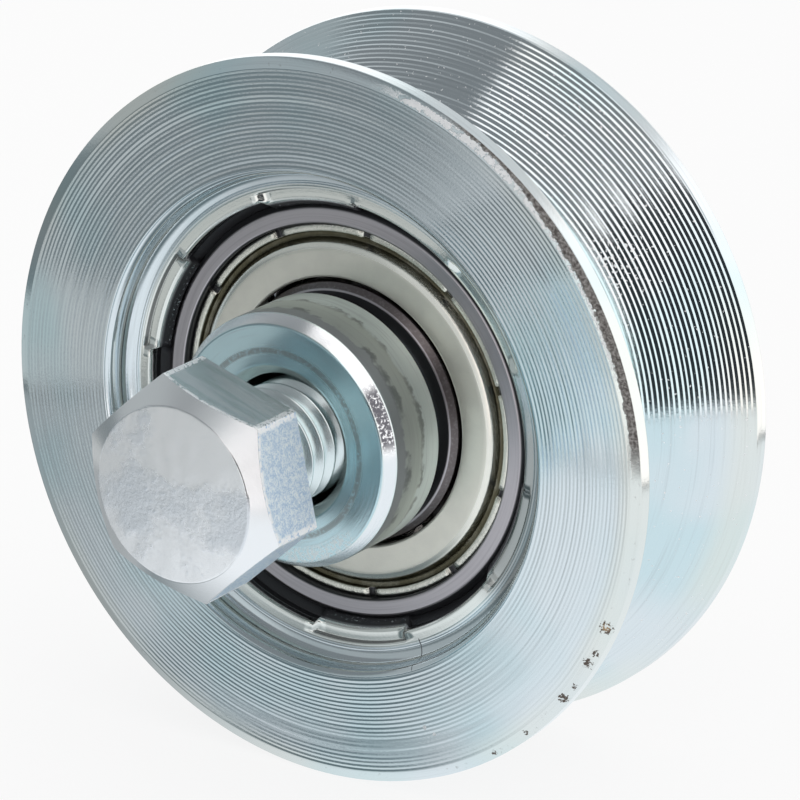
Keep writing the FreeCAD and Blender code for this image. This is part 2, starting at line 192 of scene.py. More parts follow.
class Finish:
    """A node tree that a material or the world is written into."""

    def __init__(self, owner):
        owner.use_nodes = True
        self.tree = owner.node_tree
        self.tree.nodes.clear()

    def node(self, kind, settings=None, sockets=None, out=0):
        made = self.tree.nodes.new(kind)
        for name, value in (settings or {}).items():
            setattr(made, name, value)
        for key, value in (sockets or {}).items():
            if isinstance(value, Wire):
                self.tree.links.new(value.socket, made.inputs[key])
            else:
                made.inputs[key].default_value = value
        if isinstance(out, tuple):
            return [Wire(self, made.outputs[key]) for key in out]
        return Wire(self, made.outputs[out])

    def mix(self, low, high, factor):
        """Colour between two colours."""
        return self.node("ShaderNodeMix", {"data_type": "RGBA"},
                         {0: factor, 6: rgba(low), 7: rgba(high)}, 2)

    def rise(self, value, low, high):
        """0 below low, 1 above high, smooth between them; low may be the larger."""
        return self.node("ShaderNodeMapRange", {"interpolation_type": "SMOOTHSTEP"},
                         {"Value": value, "From Min": low, "From Max": high})

    def cloud(self, vector, scale, detail=2.0, roughness=0.5):
        """Cloudy noise."""
        return self.node("ShaderNodeTexNoise", {}, {"Vector": vector, "Scale": scale, "Detail": detail,
                                                    "Roughness": roughness})

    def place(self):
        """Object coordinates in millimetres, with their parts."""
        point = self.node("ShaderNodeTexCoord", {}, {}, "Object")
        point = self.node("ShaderNodeVectorMath", {"operation": "SCALE"}, {0: point, "Scale": 1 / MM})
        return [point] + self.node("ShaderNodeSeparateXYZ", {}, {0: point}, ("X", "Y", "Z"))

    def streaks(self, x, y, z, fine, along):
        """Noise drawn out round the axle, as a lathe leaves it, and the distance from the axle."""
        radius = (x * x + z * z + 0.0001) ** 0.5
        across = (radius + y * 0.73) * fine
        vector = self.node("ShaderNodeCombineXYZ", {},
                           {0: across, 1: x / radius * along, 2: z / radius * along})
        return self.cloud(vector, 1.0, 3.0, 0.6), radius

    def spot(self, point, centre, inner, outer):
        """1 within inner of a point on the surface, 0 beyond outer."""
        gap = self.node("ShaderNodeVectorMath", {"operation": "DISTANCE"}, {0: point, 1: centre}, "Value")
        return self.rise(gap, outer, inner)

    def bump(self, height, depth):
        """Normal of a fine relief, its depth in millimetres."""
        return self.node("ShaderNodeBump", {}, {"Strength": 1.0, "Distance": depth * MM, "Height": height})

    def metal(self, base, rough, metallic=1.0, normal=None):
        """Principled shader as the surface."""
        sockets = {"Base Color": rgba(base), "Roughness": rough, "Metallic": metallic}
        if normal is not None:
            sockets["Normal"] = normal
        shader = self.node("ShaderNodeBsdfPrincipled", {}, sockets)
        self.output(shader)

    def output(self, shader):
        made = self.tree.nodes.new("ShaderNodeOutputMaterial")
        self.tree.links.new(shader.socket, made.inputs["Surface"])


def rgba(value):
    return value if isinstance(value, Wire) else (*value[:3], 1.0)


def at(radius, y, degrees):
    """Point at a radius and an angle from +X towards +Z."""
    turn = math.radians(degrees)
    return Vector((radius * math.cos(turn), y, radius * math.sin(turn)))


def towards(x, z, degrees):
    """Distance from the axle in a direction, an angle from +X towards +Z."""
    turn = math.radians(degrees)
    return x * math.cos(turn) + z * math.sin(turn)


# Marks of use as (radius, y, degrees from +X towards +Z, size)
RUST_SPOTS = ((29.45, -9.85, -22.4, 1.0), (29.6, -9.8, -27.4, 0.6), (29.45, -9.85, -29.7, 0.8),
              (29.6, -9.8, -34.6, 0.5), (29.5, -9.8, -37.6, 0.8), (29.5, -9.8, -47.5, 0.5),
              (29.5, -9.8, -55.0, 0.5))
SCUFFS = ((25.7, -10.0, -66.0, 0.5), (26.4, -10.0, -64.5, 0.45))


def marks(f, point, spots):
    """1 at the middle of any of the spots, 0 beyond them."""
    total = None
    for radius, y, degrees, size in spots:
        spot = f.spot(point, at(radius, y, degrees), size * 0.2, size)
        total = spot if total is None else total + spot
    return total


# Tones of the wheel's zinc
ROOT_TEAL = (0.50, 0.74, 0.78)
# Painted shade along the bottom of the groove
ROOT_SHADE = (0.13, 0.16, 0.17)
WORN_GREY = (0.40, 0.385, 0.37)
# White of the painted glints on the worn rim's fringe and on the nicks in the groove
EDGE_GLINT_WHITE = (0.95, 0.96, 0.97)
# Painted shade on a sector of the counterbore ledge
LEDGE_SHADE = (0.26, 0.275, 0.275)
TAN_RUST = (0.52, 0.37, 0.22)
SCUFF_WHITE = (0.93, 0.94, 0.95)


def wheel_zinc(f, c, point, x, y, z):
    """Turned zinc: blue-white with teal and warm casts, worn rims, rust and scuffs; painted shade in the
    bearing seat, on the stake pockets' walls, along the groove's root and on a sector of the counterbore
    ledge; painted glints on the rim's fringe and the flanks' nicks.
    """
    streak, radius = f.streaks(x, y, z, 3.0, 1.6)
    cast = f.cloud(point, 0.07, 2.0)
    mottle = f.cloud(point, 1.6, 4.0, 0.65)
    grit = f.cloud(point, 4.5, 3.0, 0.7)
    base = f.mix(c.zinc, c.zinc_teal, f.rise(cast, 0.42, 0.66) * 0.8)
    base = f.mix(base, c.zinc_dark, f.rise(streak, 0.5, 0.75) * 0.3)
    rim = f.rise(radius, 27.4, 29.3) * f.rise(f.cloud(point, 0.05, 1.0), 0.35, 0.6)
    mouth = f.rise(y, -6.9, -7.1)
    ledge = f.rise(radius, 19.4, 19.0) * mouth
    base = f.mix(base, c.zinc_warm, rim * 0.5 + ledge * 0.5)
    ends = f.rise(y * y, 91.0, 92.5)
    chamfer = f.rise(radius, 29.10, 29.22) * ends
    upper = f.rise(towards(x, z, 35.0) / radius, 0.835, 0.90)
    thin = f.rise(z / radius, 0.64, 0.84)
    ragged = radius - 29.34 - thin * 0.4 + (grit - 0.5) * 0.5 + (mottle - 0.5) * 0.6
    worn = chamfer * f.rise(ragged, 0.0, 0.06) * upper
    worn = worn + chamfer * (1 - upper) * f.rise(mottle, 0.62, 0.75) * 0.3
    # Painted highlight: a white fringe inside the worn band of the rim's chamfer, at the upper right, partly
    # bare nicked edge
    fringe_glint = f.rise(ragged + thin * 0.35, -0.2, -0.14) * f.rise(ragged, 0.02, -0.03) * ends
    fringe_glint = fringe_glint * f.rise(towards(x, z, 48.0) / radius, 0.84, 0.92) * f.rise(mottle, 0.40, 0.48)
    # Painted glints: the nicks and chatter marks on the groove's flanks are real marks, painted white as
    # sparkling glints
    chatter = f.spot(point, at(24.3, 2.6, 34.0), 0.8, 4.5)
    nick_glint = f.cloud(point, 3.2, 2.0, 0.6) + chatter * 0.12
    nick_glint = f.rise(y * y, 70.0, 66.0) * f.rise(radius, 23.2, 23.6) * f.rise(nick_glint, 0.69, 0.72)
    root = f.rise(radius, 23.5, 22.9) * f.rise(y * y, 9.0, 6.0)
    base = f.mix(base, ROOT_TEAL, root * 0.8)
    # Painted shade: a dark line along the bottom of the groove's root
    base = f.mix(base, ROOT_SHADE, root * f.rise(radius, 22.64, 22.48))
    base = f.mix(base, f.mix(c.scale, WORN_GREY, f.rise(grit, 0.34, 0.70)), worn)
    base = f.mix(base, EDGE_GLINT_WHITE, fringe_glint + nick_glint)
    # Painted shade: a darker sector of the counterbore ledge, to the right and a little below the axle
    shaded_ledge = f.rise(radius, 20.4, 20.1) * mouth * f.rise(towards(x, z, -13.0) / radius, 0.86, 0.96)
    base = f.mix(base, LEDGE_SHADE, shaded_ledge * 0.8)
    # Painted shade: near-black in the bearing seat's mouth and along the stake pockets' outer walls, where
    # shade falls; the crack below is a real mark
    seat = f.rise(radius, 18.30, 18.20) * f.rise(y, -7.05, -6.75) * f.rise(y, 4.9, 4.7)
    burr = f.rise(radius, 17.55, 17.45) * f.rise(y, -5.75, -5.9) * f.rise(grit, 0.60, 0.64)
    pocket_wall_shade = f.rise(radius, 18.78, 18.84) * f.rise(radius, 19.0, 18.93) * f.rise(y, -7.64, -7.56)
    crack = towards(x, z, 26.0) / (0.4 + mottle * 1.2)
    crack = f.rise(crack * crack, 0.004, 0.001) * f.rise(radius, 18.95, 19.05) * f.rise(radius, 21.1, 20.9)
    shade_and_crack = seat * (1 - burr) + pocket_wall_shade * 0.7 + crack * f.rise(x, 0.0, 1.0) * f.rise(y, -7.0, -7.2) * 0.8
    base = f.mix(base, c.shade_and_crack_black, shade_and_crack)
    rust = marks(f, point, RUST_SPOTS)
    rust = f.rise(rust, 0.0, 0.15) * f.rise(rust * 0.34 + f.cloud(point, 5.0, 2.0, 0.6), 0.74, 0.84)
    brown = f.spot(point, at(29.4, -9.85, -22.4), 0.1, 0.5)
    base = f.mix(base, f.mix(c.rust, TAN_RUST, brown * 0.9), rust)
    scuff = f.rise(marks(f, point, SCUFFS) * (mottle + grit), 0.8, 0.95)
    base = f.mix(base, SCUFF_WHITE, scuff)
    rough = 0.07 + streak * 0.08 + worn * 0.3 + shade_and_crack * 0.25 + rust * 0.5 + (scuff + fringe_glint + nick_glint) * 0.35
    metallic = 1 - shade_and_crack * 0.5 - rust * 0.9 - worn * 0.4 - (fringe_glint + nick_glint) * 0.5
    normal = f.bump(grit * 0.5 + streak * 0.5 + (worn + fringe_glint) * grit * 3.0, 0.008)
    f.metal(base, rough, metallic, normal)


# Tones of the bush's zinc
BUSH_SIDE = (0.80, 0.89, 0.87)
BUSH_FACE = (0.57, 0.75, 0.80)
BUSH_RIM = (0.88, 0.91, 0.93)
BUSH_CHIP = (0.88, 0.92, 0.93)
DULL_RING = (0.33, 0.34, 0.33)
SCORCH = (0.15, 0.15, 0.17)
SIDE_DARK = (0.46, 0.49, 0.50)
OLIVE_STAIN = (0.63, 0.68, 0.61)
STAIN_EDGE = (0.20, 0.22, 0.22)


def bush_zinc(f, c, point, x, y, z):
    """Teal zinc with fine turning streaks, a dull ring on the face, a scorched rim and a stained side."""
    streak, radius = f.streaks(x, y, z, 5.0, 1.5)
    cloud = f.cloud(point, 0.45, 3.0, 0.6)
    grain = f.cloud(point, 4.5, 3.0, 0.65)
    aside = (y - BEARING_MIDDLE) * (y - BEARING_MIDDLE)
    front = f.rise(aside, 200.0, 202.0)
    base = f.mix(BUSH_SIDE, BUSH_FACE, front)
    base = f.mix(base, c.zinc_dark, f.rise(streak, 0.48, 0.72) * 0.35)
    dull = front * f.rise(radius, 7.3, 7.55) * f.rise(radius, 8.0, 7.75)
    base = f.mix(base, DULL_RING, dull * f.rise(grain + cloud * 0.4, 0.5, 0.75) * 0.7)
    rim = f.rise(radius, 9.8, 9.9)
    chamfer = rim * f.rise(radius, 10.47, 10.4)
    base = f.mix(base, BUSH_RIM, chamfer)
    chipped = front * f.rise(radius, 8.3, 8.9) * f.rise(towards(x, z, -65.15) / radius, 0.90, 0.97)
    chipped = chipped * f.rise(grain, 0.44, 0.56)
    base = f.mix(base, BUSH_CHIP, chipped * 0.7)
    scorched = chamfer * f.rise(towards(x, z, 22.0) / radius, 0.955, 0.985)
    scorched = scorched * f.rise(f.cloud(point, 4.0, 3.0, 0.7), 0.36, 0.50)
    base = f.mix(base, SCORCH, scorched)
    side = f.rise(radius, 10.46, 10.49)
    height = aside ** 0.5 + (cloud - 0.5) * 2.0 + (grain - 0.5) * 0.5
    stain = f.rise(height, 9.3, 9.7) * f.rise(height, 12.0, 11.6)
    edge = f.rise(height, 11.2, 11.6) * f.rise(height, 12.2, 11.8)
    edge = edge + f.rise(height, 9.2, 9.5) * f.rise(height, 10.0, 9.6)
    base = f.mix(base, SIDE_DARK, side * f.rise(height, 11.6, 12.0) * 0.8)
    base = f.mix(base, OLIVE_STAIN, side * stain * 0.6)
    base = f.mix(base, STAIN_EDGE, side * edge * f.rise(cloud, 0.40, 0.60) * 0.7)
    rough = 0.14 + streak * 0.08 + dull * 0.15 + cloud * 0.08 + (chipped + scorched) * 0.15 + side * 0.1
    f.metal(base, rough, 1 - side * 0.2, f.bump(grain * (0.4 + rim * 0.5) + streak, 0.008))


# Tones of the bearing's steel
RING_STREAK = (0.38, 0.36, 0.38)
# Painted shade on the inner ring's chamfer between the bush and the shield
RING_CORNER_SHADE = (0.17, 0.15, 0.15)
SHIELD_CLOUD = (0.76, 0.75, 0.68)
# Painted shade in the dip beside the shield's rolled rim
SHIELD_DIP_SHADE = (0.11, 0.10, 0.065)
# Painted highlight on the shield's shoulder bevel
SHIELD_BEVEL_HIGHLIGHT = (0.93, 0.92, 0.87)
BALL_CLOUD = (0.55, 0.55, 0.58)
CAGE_CLOUD = (0.36, 0.34, 0.31)


def ring_steel(f, c, point, x, y, z):
    """Ground lilac-grey steel, with painted shade: black in the shield's groove, on the outer chamfers and
    beside the bush, and dark on the inner ring's chamfer between the bush and the shield.
    """
    streak, radius = f.streaks(x, y, z, 6.0, 1.2)
    grain = f.cloud(point, 4.0, 3.0, 0.6)
    base = f.mix(c.ring_steel, RING_STREAK, f.rise(streak, 0.45, 0.7) * 0.5)
    # Painted shade: black in the shield's groove, on the outer ring's outer chamfer and on the inner ring's
    # face beside the bush
    dark = f.rise(radius, 14.0, 14.3) * f.rise(radius, 15.82, 15.72) + f.rise(radius, 16.9, 17.05)
    dark = dark + f.rise(radius, 10.26, 10.16)
    corner = f.rise(radius, 10.32, 10.4) * f.rise(radius, 11.2, 11.0)
    base = f.mix(base, RING_CORNER_SHADE, corner * (0.5 + grain))
    base = f.mix(base, c.shade_and_crack_black, dark)
    f.metal(base, 0.26 + streak * 0.12, 1 - dark * 0.4, f.bump(grain * 0.5 + streak, 0.004))


def shield_steel(f, c, point, x, y, z):
    """Champagne sheet, with painted shade: dark olive in the dip beside its rolled rim and black in the
    notches; a painted highlight on the shoulder bevel.
    """
    streak, radius = f.streaks(x, y, z, 4.0, 1.0)
    cloud = f.cloud(point, 0.5, 3.0)
    grain = f.cloud(point, 5.0, 3.0, 0.6)
    base = f.mix(c.shield, SHIELD_CLOUD, f.rise(cloud, 0.4, 0.65) * 0.6)
    slope = f.rise(radius, 13.95, 14.1)
    # Painted shade: dark olive in the dip between the shoulder and the rolled rim
    dip = f.rise(radius, 13.95, 14.5) * f.rise(radius, 14.97, 14.9)
    base = f.mix(base, SHIELD_DIP_SHADE, dip * (0.7 + cloud * 0.6))
    aside = (y - BEARING_MIDDLE) * (y - BEARING_MIDDLE)
    # Painted shade: black in the notches of the rolled rim
    notch = f.rise(radius, 14.9, 14.97) * f.rise(aside, 22.3, 21.2)
    base = f.mix(base, c.shade_and_crack_black, notch)
    # Painted highlight: a paler ring on the shoulder bevel
    bevel = f.rise(radius, 13.54, 13.66) * (1 - slope)
    base = f.mix(base, SHIELD_BEVEL_HIGHLIGHT, bevel * 0.4)
    rough = 0.30 + streak * 0.1 - (slope + bevel) * 0.14
    height = grain * (2.5 - bevel * 2.0 + slope * 4.5) + streak * 0.5
    f.metal(base, rough, 0.8 + (slope + bevel) * 0.2 - notch * 0.6, f.bump(height, 0.006))


# Tones of the bolt's zinc
# Painted light: pale tone of the side and bottom flats
SIDE_FLAT_PALE = (0.88, 0.96, 1.0)
GRAIN_BLUE = (0.42, 0.60, 0.80)
SHANK = (0.80, 0.88, 0.89)
# Painted light: darker tone of the top flat
TOP_FLAT_TONE = (0.62, 0.73, 0.73)
# Grey of the disc's mottle and of the painted reflected band across it
DISC_GREY = (0.66, 0.72, 0.79)
# White of the chips and of the painted glints along the edges of the flats
BOLT_EDGE_GLINT = (0.94, 0.98, 1.0)


def bolt_zinc(f, c, point, x, y, z):
    """Zinc of the bolt and nut: scuffed front disc with a painted reflected band across it, smooth chamfers,
    granular or streaky flats whose tones are painted by which way each faces, and painted glints along the
    flats' edges.
    """
    facing = f.node("ShaderNodeTexCoord", {}, {}, "Normal")
    along, up = f.node("ShaderNodeSeparateXYZ", {}, {0: facing}, ("Y", "Z"))
    radius = (x * x + z * z + 0.0001) ** 0.5
    speck = f.cloud(point, 2.4, 4.0, 0.75)
    grain = f.cloud(point, 8.0, 3.0, 0.6)
    drawn = f.cloud(f.node("ShaderNodeCombineXYZ", {}, {0: x * 0.16, 1: y * 1.4, 2: z * 0.16}), 1.0, 3.0)
    # Painted light: the flats' tones are picked by which way each flat faces, pale on the sides and bottom,
    # darker on top
    flat = f.rise(radius, 7.5, 7.7) * f.rise(along * along, 0.3, 0.1)
    side_flats = flat * f.rise(up, 0.65, 0.4)
    top_flat = flat - side_flats
    disc = f.rise(y, HEAD_FRONT + 0.12, HEAD_FRONT + 0.06)
    # Painted reflection: a darker level band across the middle of the head's disc, mixed with its cloudy
    # mottle
    reflected_band = (z + 1.2) * (z + 1.2)
    middle = disc * f.rise(f.cloud(point, 0.3, 3.0, 0.6) + f.rise(reflected_band, 12.0, 0.5) * 0.22, 0.48, 0.82)
    across, above = x - HEAD_DISC[0], z - HEAD_DISC[1]
    cone = ((across * across + above * above) ** 0.5 - HEAD_DISC[2]) * HEX_SLOPE
    border = y - cone - (HEAD_FRONT + HEAD_STEP)
    # Painted highlight: white glints along the flats' edges and corners, partly chipped zinc
    chip_and_glint = f.rise(border, 0.42, 0.16) + f.rise(radius, 8.95, 9.08)
    chip_and_glint = flat * chip_and_glint * f.rise(speck, 0.40, 0.50) * f.rise(y, 0.0, -1.0)
    base = f.mix(c.bolt, SIDE_FLAT_PALE, side_flats)
    blue = f.rise(grain * 0.55 + speck * 0.45, 0.60, 0.40)
    base = f.mix(base, GRAIN_BLUE, side_flats * blue * 0.85)
    base = f.mix(base, SHANK, f.rise(radius, 5.6, 5.2) * f.rise(y, HEAD_UNDER - 0.3, HEAD_UNDER))
    base = f.mix(base, TOP_FLAT_TONE, top_flat * (0.4 + f.rise(drawn, 0.40, 0.62) * 0.5))
    base = f.mix(base, DISC_GREY, middle * 0.45 + disc * f.rise(speck, 0.56, 0.70) * 0.3)
    base = f.mix(base, BOLT_EDGE_GLINT, chip_and_glint)
    rough = 0.19 + speck * 0.08 + side_flats * 0.2 + middle * 0.1 + chip_and_glint * 0.1
    height = grain * (0.1 + side_flats * 1.2) + speck * (0.15 + middle * 2.0)
    f.metal(base, rough, 1 - side_flats * 0.45 - chip_and_glint * 0.4, f.bump(height, 0.02))


def ball_steel(f, c, point, *unused):
    """Polished steel."""
    cloud = f.cloud(point, 0.6, 2.0)
    base = f.mix(c.ball_steel, BALL_CLOUD, cloud * 0.4)
    f.metal(base, 0.06 + cloud * 0.06)


def cage_steel(f, c, point, *unused):
    """Pressed steel, dull in patches."""
    cloud = f.cloud(point, 0.9, 4.0)
    base = f.mix(c.cage_steel, CAGE_CLOUD, cloud * 0.6)
    f.metal(base, 0.3 + cloud * 0.15, 1.0, f.bump(f.cloud(point, 5.0, 3.0), 0.01))


def finish_called(write):
    """Material that a function writes, made once."""
    name = write.__name__ + "_finish"
    material = bpy.data.materials.get(name)
    if material is None:
        material = bpy.data.materials.new(name)
        finish = Finish(material)
        write(finish, bpy.context.scene.finishes, *finish.place())
    return material


# Shapes

MERGE_GAP = 0.0005


def lathe(profile, steps, start=0.0):
    """Closed profile of (radius, y) points turned about the axle."""
    bm = bmesh.new()
    verts = [bm.verts.new(at(r, y, start)) for r, y in profile]
    edges = [bm.edges.new((verts[i - 1], verts[i])) for i in range(len(verts))]
    bmesh.ops.spin(bm, geom=verts + edges, cent=(0, 0, 0), axis=AXLE, angle=math.tau, steps=steps,
                   use_merge=True)
    tidy(bm)
    return bm


def tidy(bm):
    """Merge doubled points, drop faces without area and turn the normals outward."""
    bmesh.ops.remove_doubles(bm, verts=bm.verts, dist=MERGE_GAP)
    bmesh.ops.dissolve_degenerate(bm, edges=bm.edges, dist=MERGE_GAP / 4)
    bmesh.ops.recalc_face_normals(bm, faces=bm.faces)


def arc(centre, radius, first, last, count):
    """Points along an arc in the (radius, y) plane, angles from +radius towards +y."""
    points = []
    for i in range(count + 1):
        turn = math.radians(first + (last - first) * i / count)
        points.append((centre[0] + radius * math.cos(turn), centre[1] + radius * math.sin(turn)))
    return points


def turning_marks(start, end, pitch, depth, draw, lean=0.5):
    """Row of shallow V-shaped marks with sharp crests between them, as a pointed tool leaves."""
    span = math.dist(start, end)
    along = ((end[0] - start[0]) / span, (end[1] - start[1]) / span)
    inward = (-along[1], along[0])
    count = round(span / pitch)
    crests = [(i + draw.uniform(-0.05, 0.05)) * span / count for i in range(count + 1)]
    crests[0], crests[-1] = 0.0, span
    points = []
    for here, there in zip(crests, crests[1:]):
        valley = here + (there - here) * draw.uniform(lean - 0.05, lean + 0.05)
        for step, sink in ((here, 0.0), (valley, depth * draw.uniform(0.85, 1.15))):
            points.append((start[0] + along[0] * step + inward[0] * sink,
                           start[1] + along[1] * step + inward[1] * sink))
    return points + [end]


def crease(bm, degrees):
    """Smooth shading, with sharp edges where faces meet at more than an angle."""
    limit = math.radians(degrees)
    for face in bm.faces:
        face.smooth = True
    for edge in bm.edges:
        edge.smooth = edge.calc_face_angle(0.0) < limit


def polar(vert):
    """Radius, and angle from +X towards +Z in degrees from 0 to 360."""
    return math.hypot(vert.co.x, vert.co.z), math.degrees(math.atan2(vert.co.z, vert.co.x)) % 360


def mirror(bm):
    """Move a piece to the other side of the bearing's middle plane."""
    turn = Matrix.Translation((0, 2 * BEARING_MIDDLE, 0)) @ Matrix.Scale(-1, 4, AXLE)
    bmesh.ops.transform(bm, matrix=turn, verts=bm.verts)
    bmesh.ops.recalc_face_normals(bm, faces=bm.faces)


def finished(bm, node, body, material, sharp):
    """Piece that stands for a CAD node, with sharp edges above an angle in degrees."""
    crease(bm, sharp)
    bmesh.ops.scale(bm, vec=(MM, MM, MM), verts=bm.verts)
    mesh = bpy.data.meshes.new(node + "_visual")
    bm.to_mesh(mesh)
    bm.free()
    mesh.materials.append(material)
    piece = bpy.data.objects.new(node + "_visual", mesh)
    bpy.context.scene.collection.objects.link(piece)
    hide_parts(node)
    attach(piece, body)


# Bearing seat and its mouth, and the ledge that the stakes are punched into, as (radius, y)
SEAT = [(17.51, 4.75), (17.51, -5.65), (17.80, -5.94), (18.11, -6.25), (18.11, -6.6), (18.11, -6.95)]
LEDGE = [(18.62, -7.67), (18.80, -7.67), (18.88, -7.67), (18.94, -7.67), (19.10, -7.67)]
LEDGE += [(19.16, -7.62), (19.22, -7.67), (19.34, -7.67), (19.39, -7.63), (19.44, -7.67), (19.52, -7.68)]
LEDGE += [(19.57, -7.645), (19.63, -7.69)]
# Where a stake sends the points of the seat's mouth
PUNCHED = {(17.80, -5.94): (17.27, -5.94), (18.11, -6.25): (17.27, -6.18), (18.11, -6.6): (17.42, -6.45),
           (18.11, -6.95): (17.60, -6.72)}
STAKE_PITCH = 60.0
STAKE_SINK = 0.45
LEDGE_FOLD = 18.9


def wheel_profile(s):
    """Outline of the turned wheel, from the counterbore over the rims and the groove to the bearing seat."""
    draw = random.Random(7)
    face = (s.face_pitch / MM, s.face_depth / MM, draw)
    flank = (s.flank_pitch / MM, s.flank_depth / MM, draw)
    back = (s.back_pitch / MM, s.face_depth / MM, draw)
    points = [(20.60, -9.45), (20.62, -9.56), (20.68, -9.68), (20.78, -9.80), (20.90, -9.90), (20.99, -9.95)]
    points += [(21.04, -9.96), (21.07, -9.90), (21.10, -9.97), (21.15, -10.0)]
    points += turning_marks((21.2, -10.0), (29.02, -10.0), *face)
    points += [(29.10, -9.995), (29.17, -9.965), (29.90, -9.645), (29.97, -9.6), (30.0, -9.53)]
    points += [(30.0, -8.40), (29.98, -8.33), (29.95, -8.26)]
    points += turning_marks((29.92, -8.22), (22.8, -1.1), *flank)
    crests, valleys = arc((23.821, 0.0), 1.5, 225.0, 135.0, 9), arc((23.821, 0.0), 1.525, 220.0, 140.0, 8)
    points += [point for pair in zip(crests, valleys) for point in pair] + crests[-1:]
    points += turning_marks((22.8, 1.1), (29.92, 8.22), *flank, 0.4)
    points += [(29.95, 8.26), (29.98, 8.33), (30.0, 8.40), (30.0, 9.53), (29.97, 9.6)]
    points += [(29.90, 9.645), (29.17, 9.965), (29.10, 9.995)]
    points += turning_marks((29.02, 10.0), (15.9, 10.0), *back)
    points += [(15.76, 9.99), (15.66, 9.93), (15.27, 9.57), (15.2, 9.47), (15.2, 4.75)]
    points += SEAT + arc((18.46, -7.32), 0.35, 180.0, 270.0, 5) + LEDGE
    points += arc((19.4, -8.87), 1.2, 76.0, 0.0, 14)
    return points


def punch_stakes(bm, s):
    """Press the stakes into the counterbore's ledge, and their lips over the bearing's edge."""
    half = math.degrees(s.stake_sweep) / 2
    first = math.degrees(s.stake_first)
    for vert in bm.verts:
        radius, turn = polar(vert)
        if not (17.45 < radius < 19.3 and -7.8 < vert.co.y < -5.6):
            continue
        off = (turn - first + STAKE_PITCH / 2) % STAKE_PITCH - STAKE_PITCH / 2
        beyond = abs(off) - half
        if abs(beyond) < 1.2:
            slid = math.copysign(half + math.copysign(0.3, beyond), off)
            vert.co = at(radius, vert.co.y, turn + slid - off)
            turn += slid - off
        if beyond > 0:
            continue
        key = (round(radius, 2), round(vert.co.y, 2))
        if key in PUNCHED:
            vert.co = at(*PUNCHED[key], turn)
        elif 18.0 < radius < LEDGE_FOLD and vert.co.y < -7.2:
            vert.co = at(LEDGE_FOLD - (LEDGE_FOLD - radius) * 1.45, vert.co.y + STAKE_SINK, turn)


class RAILWHEEL_OT_wheel(bpy.types.Operator):
    """Turned wheel with two flanges, the V groove and the staked bearing seat"""
    bl_idname = "rail_wheel.wheel"
    bl_label = "Wheel"

    def execute(self, context):
        s = context.scene.wheel_sizes
        bm = lathe(wheel_profile(s), s.steps, 1.0)
        punch_stakes(bm, s)
        finished(bm, "wheel", "wheel_group", finish_called(wheel_zinc), 12.5)
        return {"FINISHED"}


def outer_ring_profile():
    """Outer ring with its race, the groove for each shield and rounded corners."""
    half = BEARING_HALF
    mid = BEARING_MIDDLE
    race = arc((OUTER_RACE - RACE_RADIUS, mid), RACE_RADIUS, 36.9, -36.9, 12)
    points = [(17.49, mid - half + 0.6), (17.49, mid + half - 0.6), (17.32, mid + half - 0.22)]
    points += [(16.9, mid + half), (15.86, mid + half), (15.67, mid + half - 0.18)]
    points += [(15.65, mid + half - 1.5), (14.3, mid + half - 1.5)]
    points += [(14.3, mid + 1.95)] + race + [(14.3, mid - 1.95), (14.3, mid - half + 1.5)]
    points += [(15.65, mid - half + 1.5), (15.65, mid - half + 0.24), (15.67, mid - half + 0.17)]
    points += [(15.80, mid - half + 0.03), (15.88, mid - half)]
    points += [(16.86, mid - half), (16.98, mid - half + 0.05)]
    points += [(17.2, mid - half + 0.22), (17.4, mid - half + 0.44)]
    return points


def inner_ring_profile():
    """Inner ring with its race and chamfered corners."""
    half = BEARING_HALF
    mid = BEARING_MIDDLE
    race = arc((INNER_RACE + RACE_RADIUS, mid), RACE_RADIUS, 236.4, 123.6, 12)
    points = [(7.5, mid - half + 0.4), (7.9, mid - half), (10.2, mid - half), (10.29, mid - half + 0.03)]
    points += [(10.8, mid - half + 0.5), (10.85, mid - half + 0.62), (10.85, mid - 2.6)] + race
    points += [(10.85, mid + 2.6), (10.85, mid + half - 0.62)]
    points += [(10.8, mid + half - 0.5), (10.29, mid + half - 0.03)]
    points += [(10.2, mid + half), (7.9, mid + half), (7.5, mid + half - 0.4)]
    return points


def shield_profile():
    """Pressed sheet: rolled rim, dip, bevelled shoulder, flat face and an inner edge that curls in."""
    points = [(15.64, -4.75), (15.64, -5.25)] + arc((15.32, -5.36), 0.32, 8.0, -82.0, 8)
    points += [(15.2, -5.68), (15.1, -5.66)] + arc((15.09, -5.47), 0.19, -92.0, -180.0, 5)
    points += [(14.9, -5.3)] + arc((14.75, -5.27), 0.15, 0.0, 90.0, 4)
    points += [(14.6, -5.1)] + arc((14.55, -5.35), 0.25, 95.0, 140.0, 4)
    points += arc((13.8, -5.5), 0.34, -30.0, -72.0, 6)
    points += [(13.68, -5.9), (13.5, -5.935), (13.3, -5.95), (12.4, -5.95), (11.45, -5.95)]
    points += arc((11.42, -5.73), 0.22, -92.0, -180.0, 6)
    points += [(11.2, -5.13), (11.5, -5.13), (11.5, -5.6), (11.6, -5.68), (13.3, -5.68), (13.6, -5.55)]
    points += [(13.85, -5.3), (14.2, -4.98), (14.5, -4.9), (15.2, -4.9), (15.2, -4.75)]
    return points


def cut_notches(bm, s):
    """Small slots pressed into the shield's rolled rim."""
    pitch = 360.0 / s.notches
    first = math.degrees(s.notch_first)
    depth = s.notch_depth / MM
    for vert in bm.verts:
        radius, turn = polar(vert)
        off = (turn - first + pitch / 2) % pitch - pitch / 2
        if abs(off) > 2.2 or radius < 14.3:
            continue
        slid = math.copysign(1.25 if abs(off) < 1 else 1.55, off)
        vert.co = at(radius, vert.co.y, turn + slid - off)
        if abs(off) < 1 and radius > 14.85 and vert.co.y < -5.2:
            vert.co.y = min(vert.co.y + depth, -5.19)


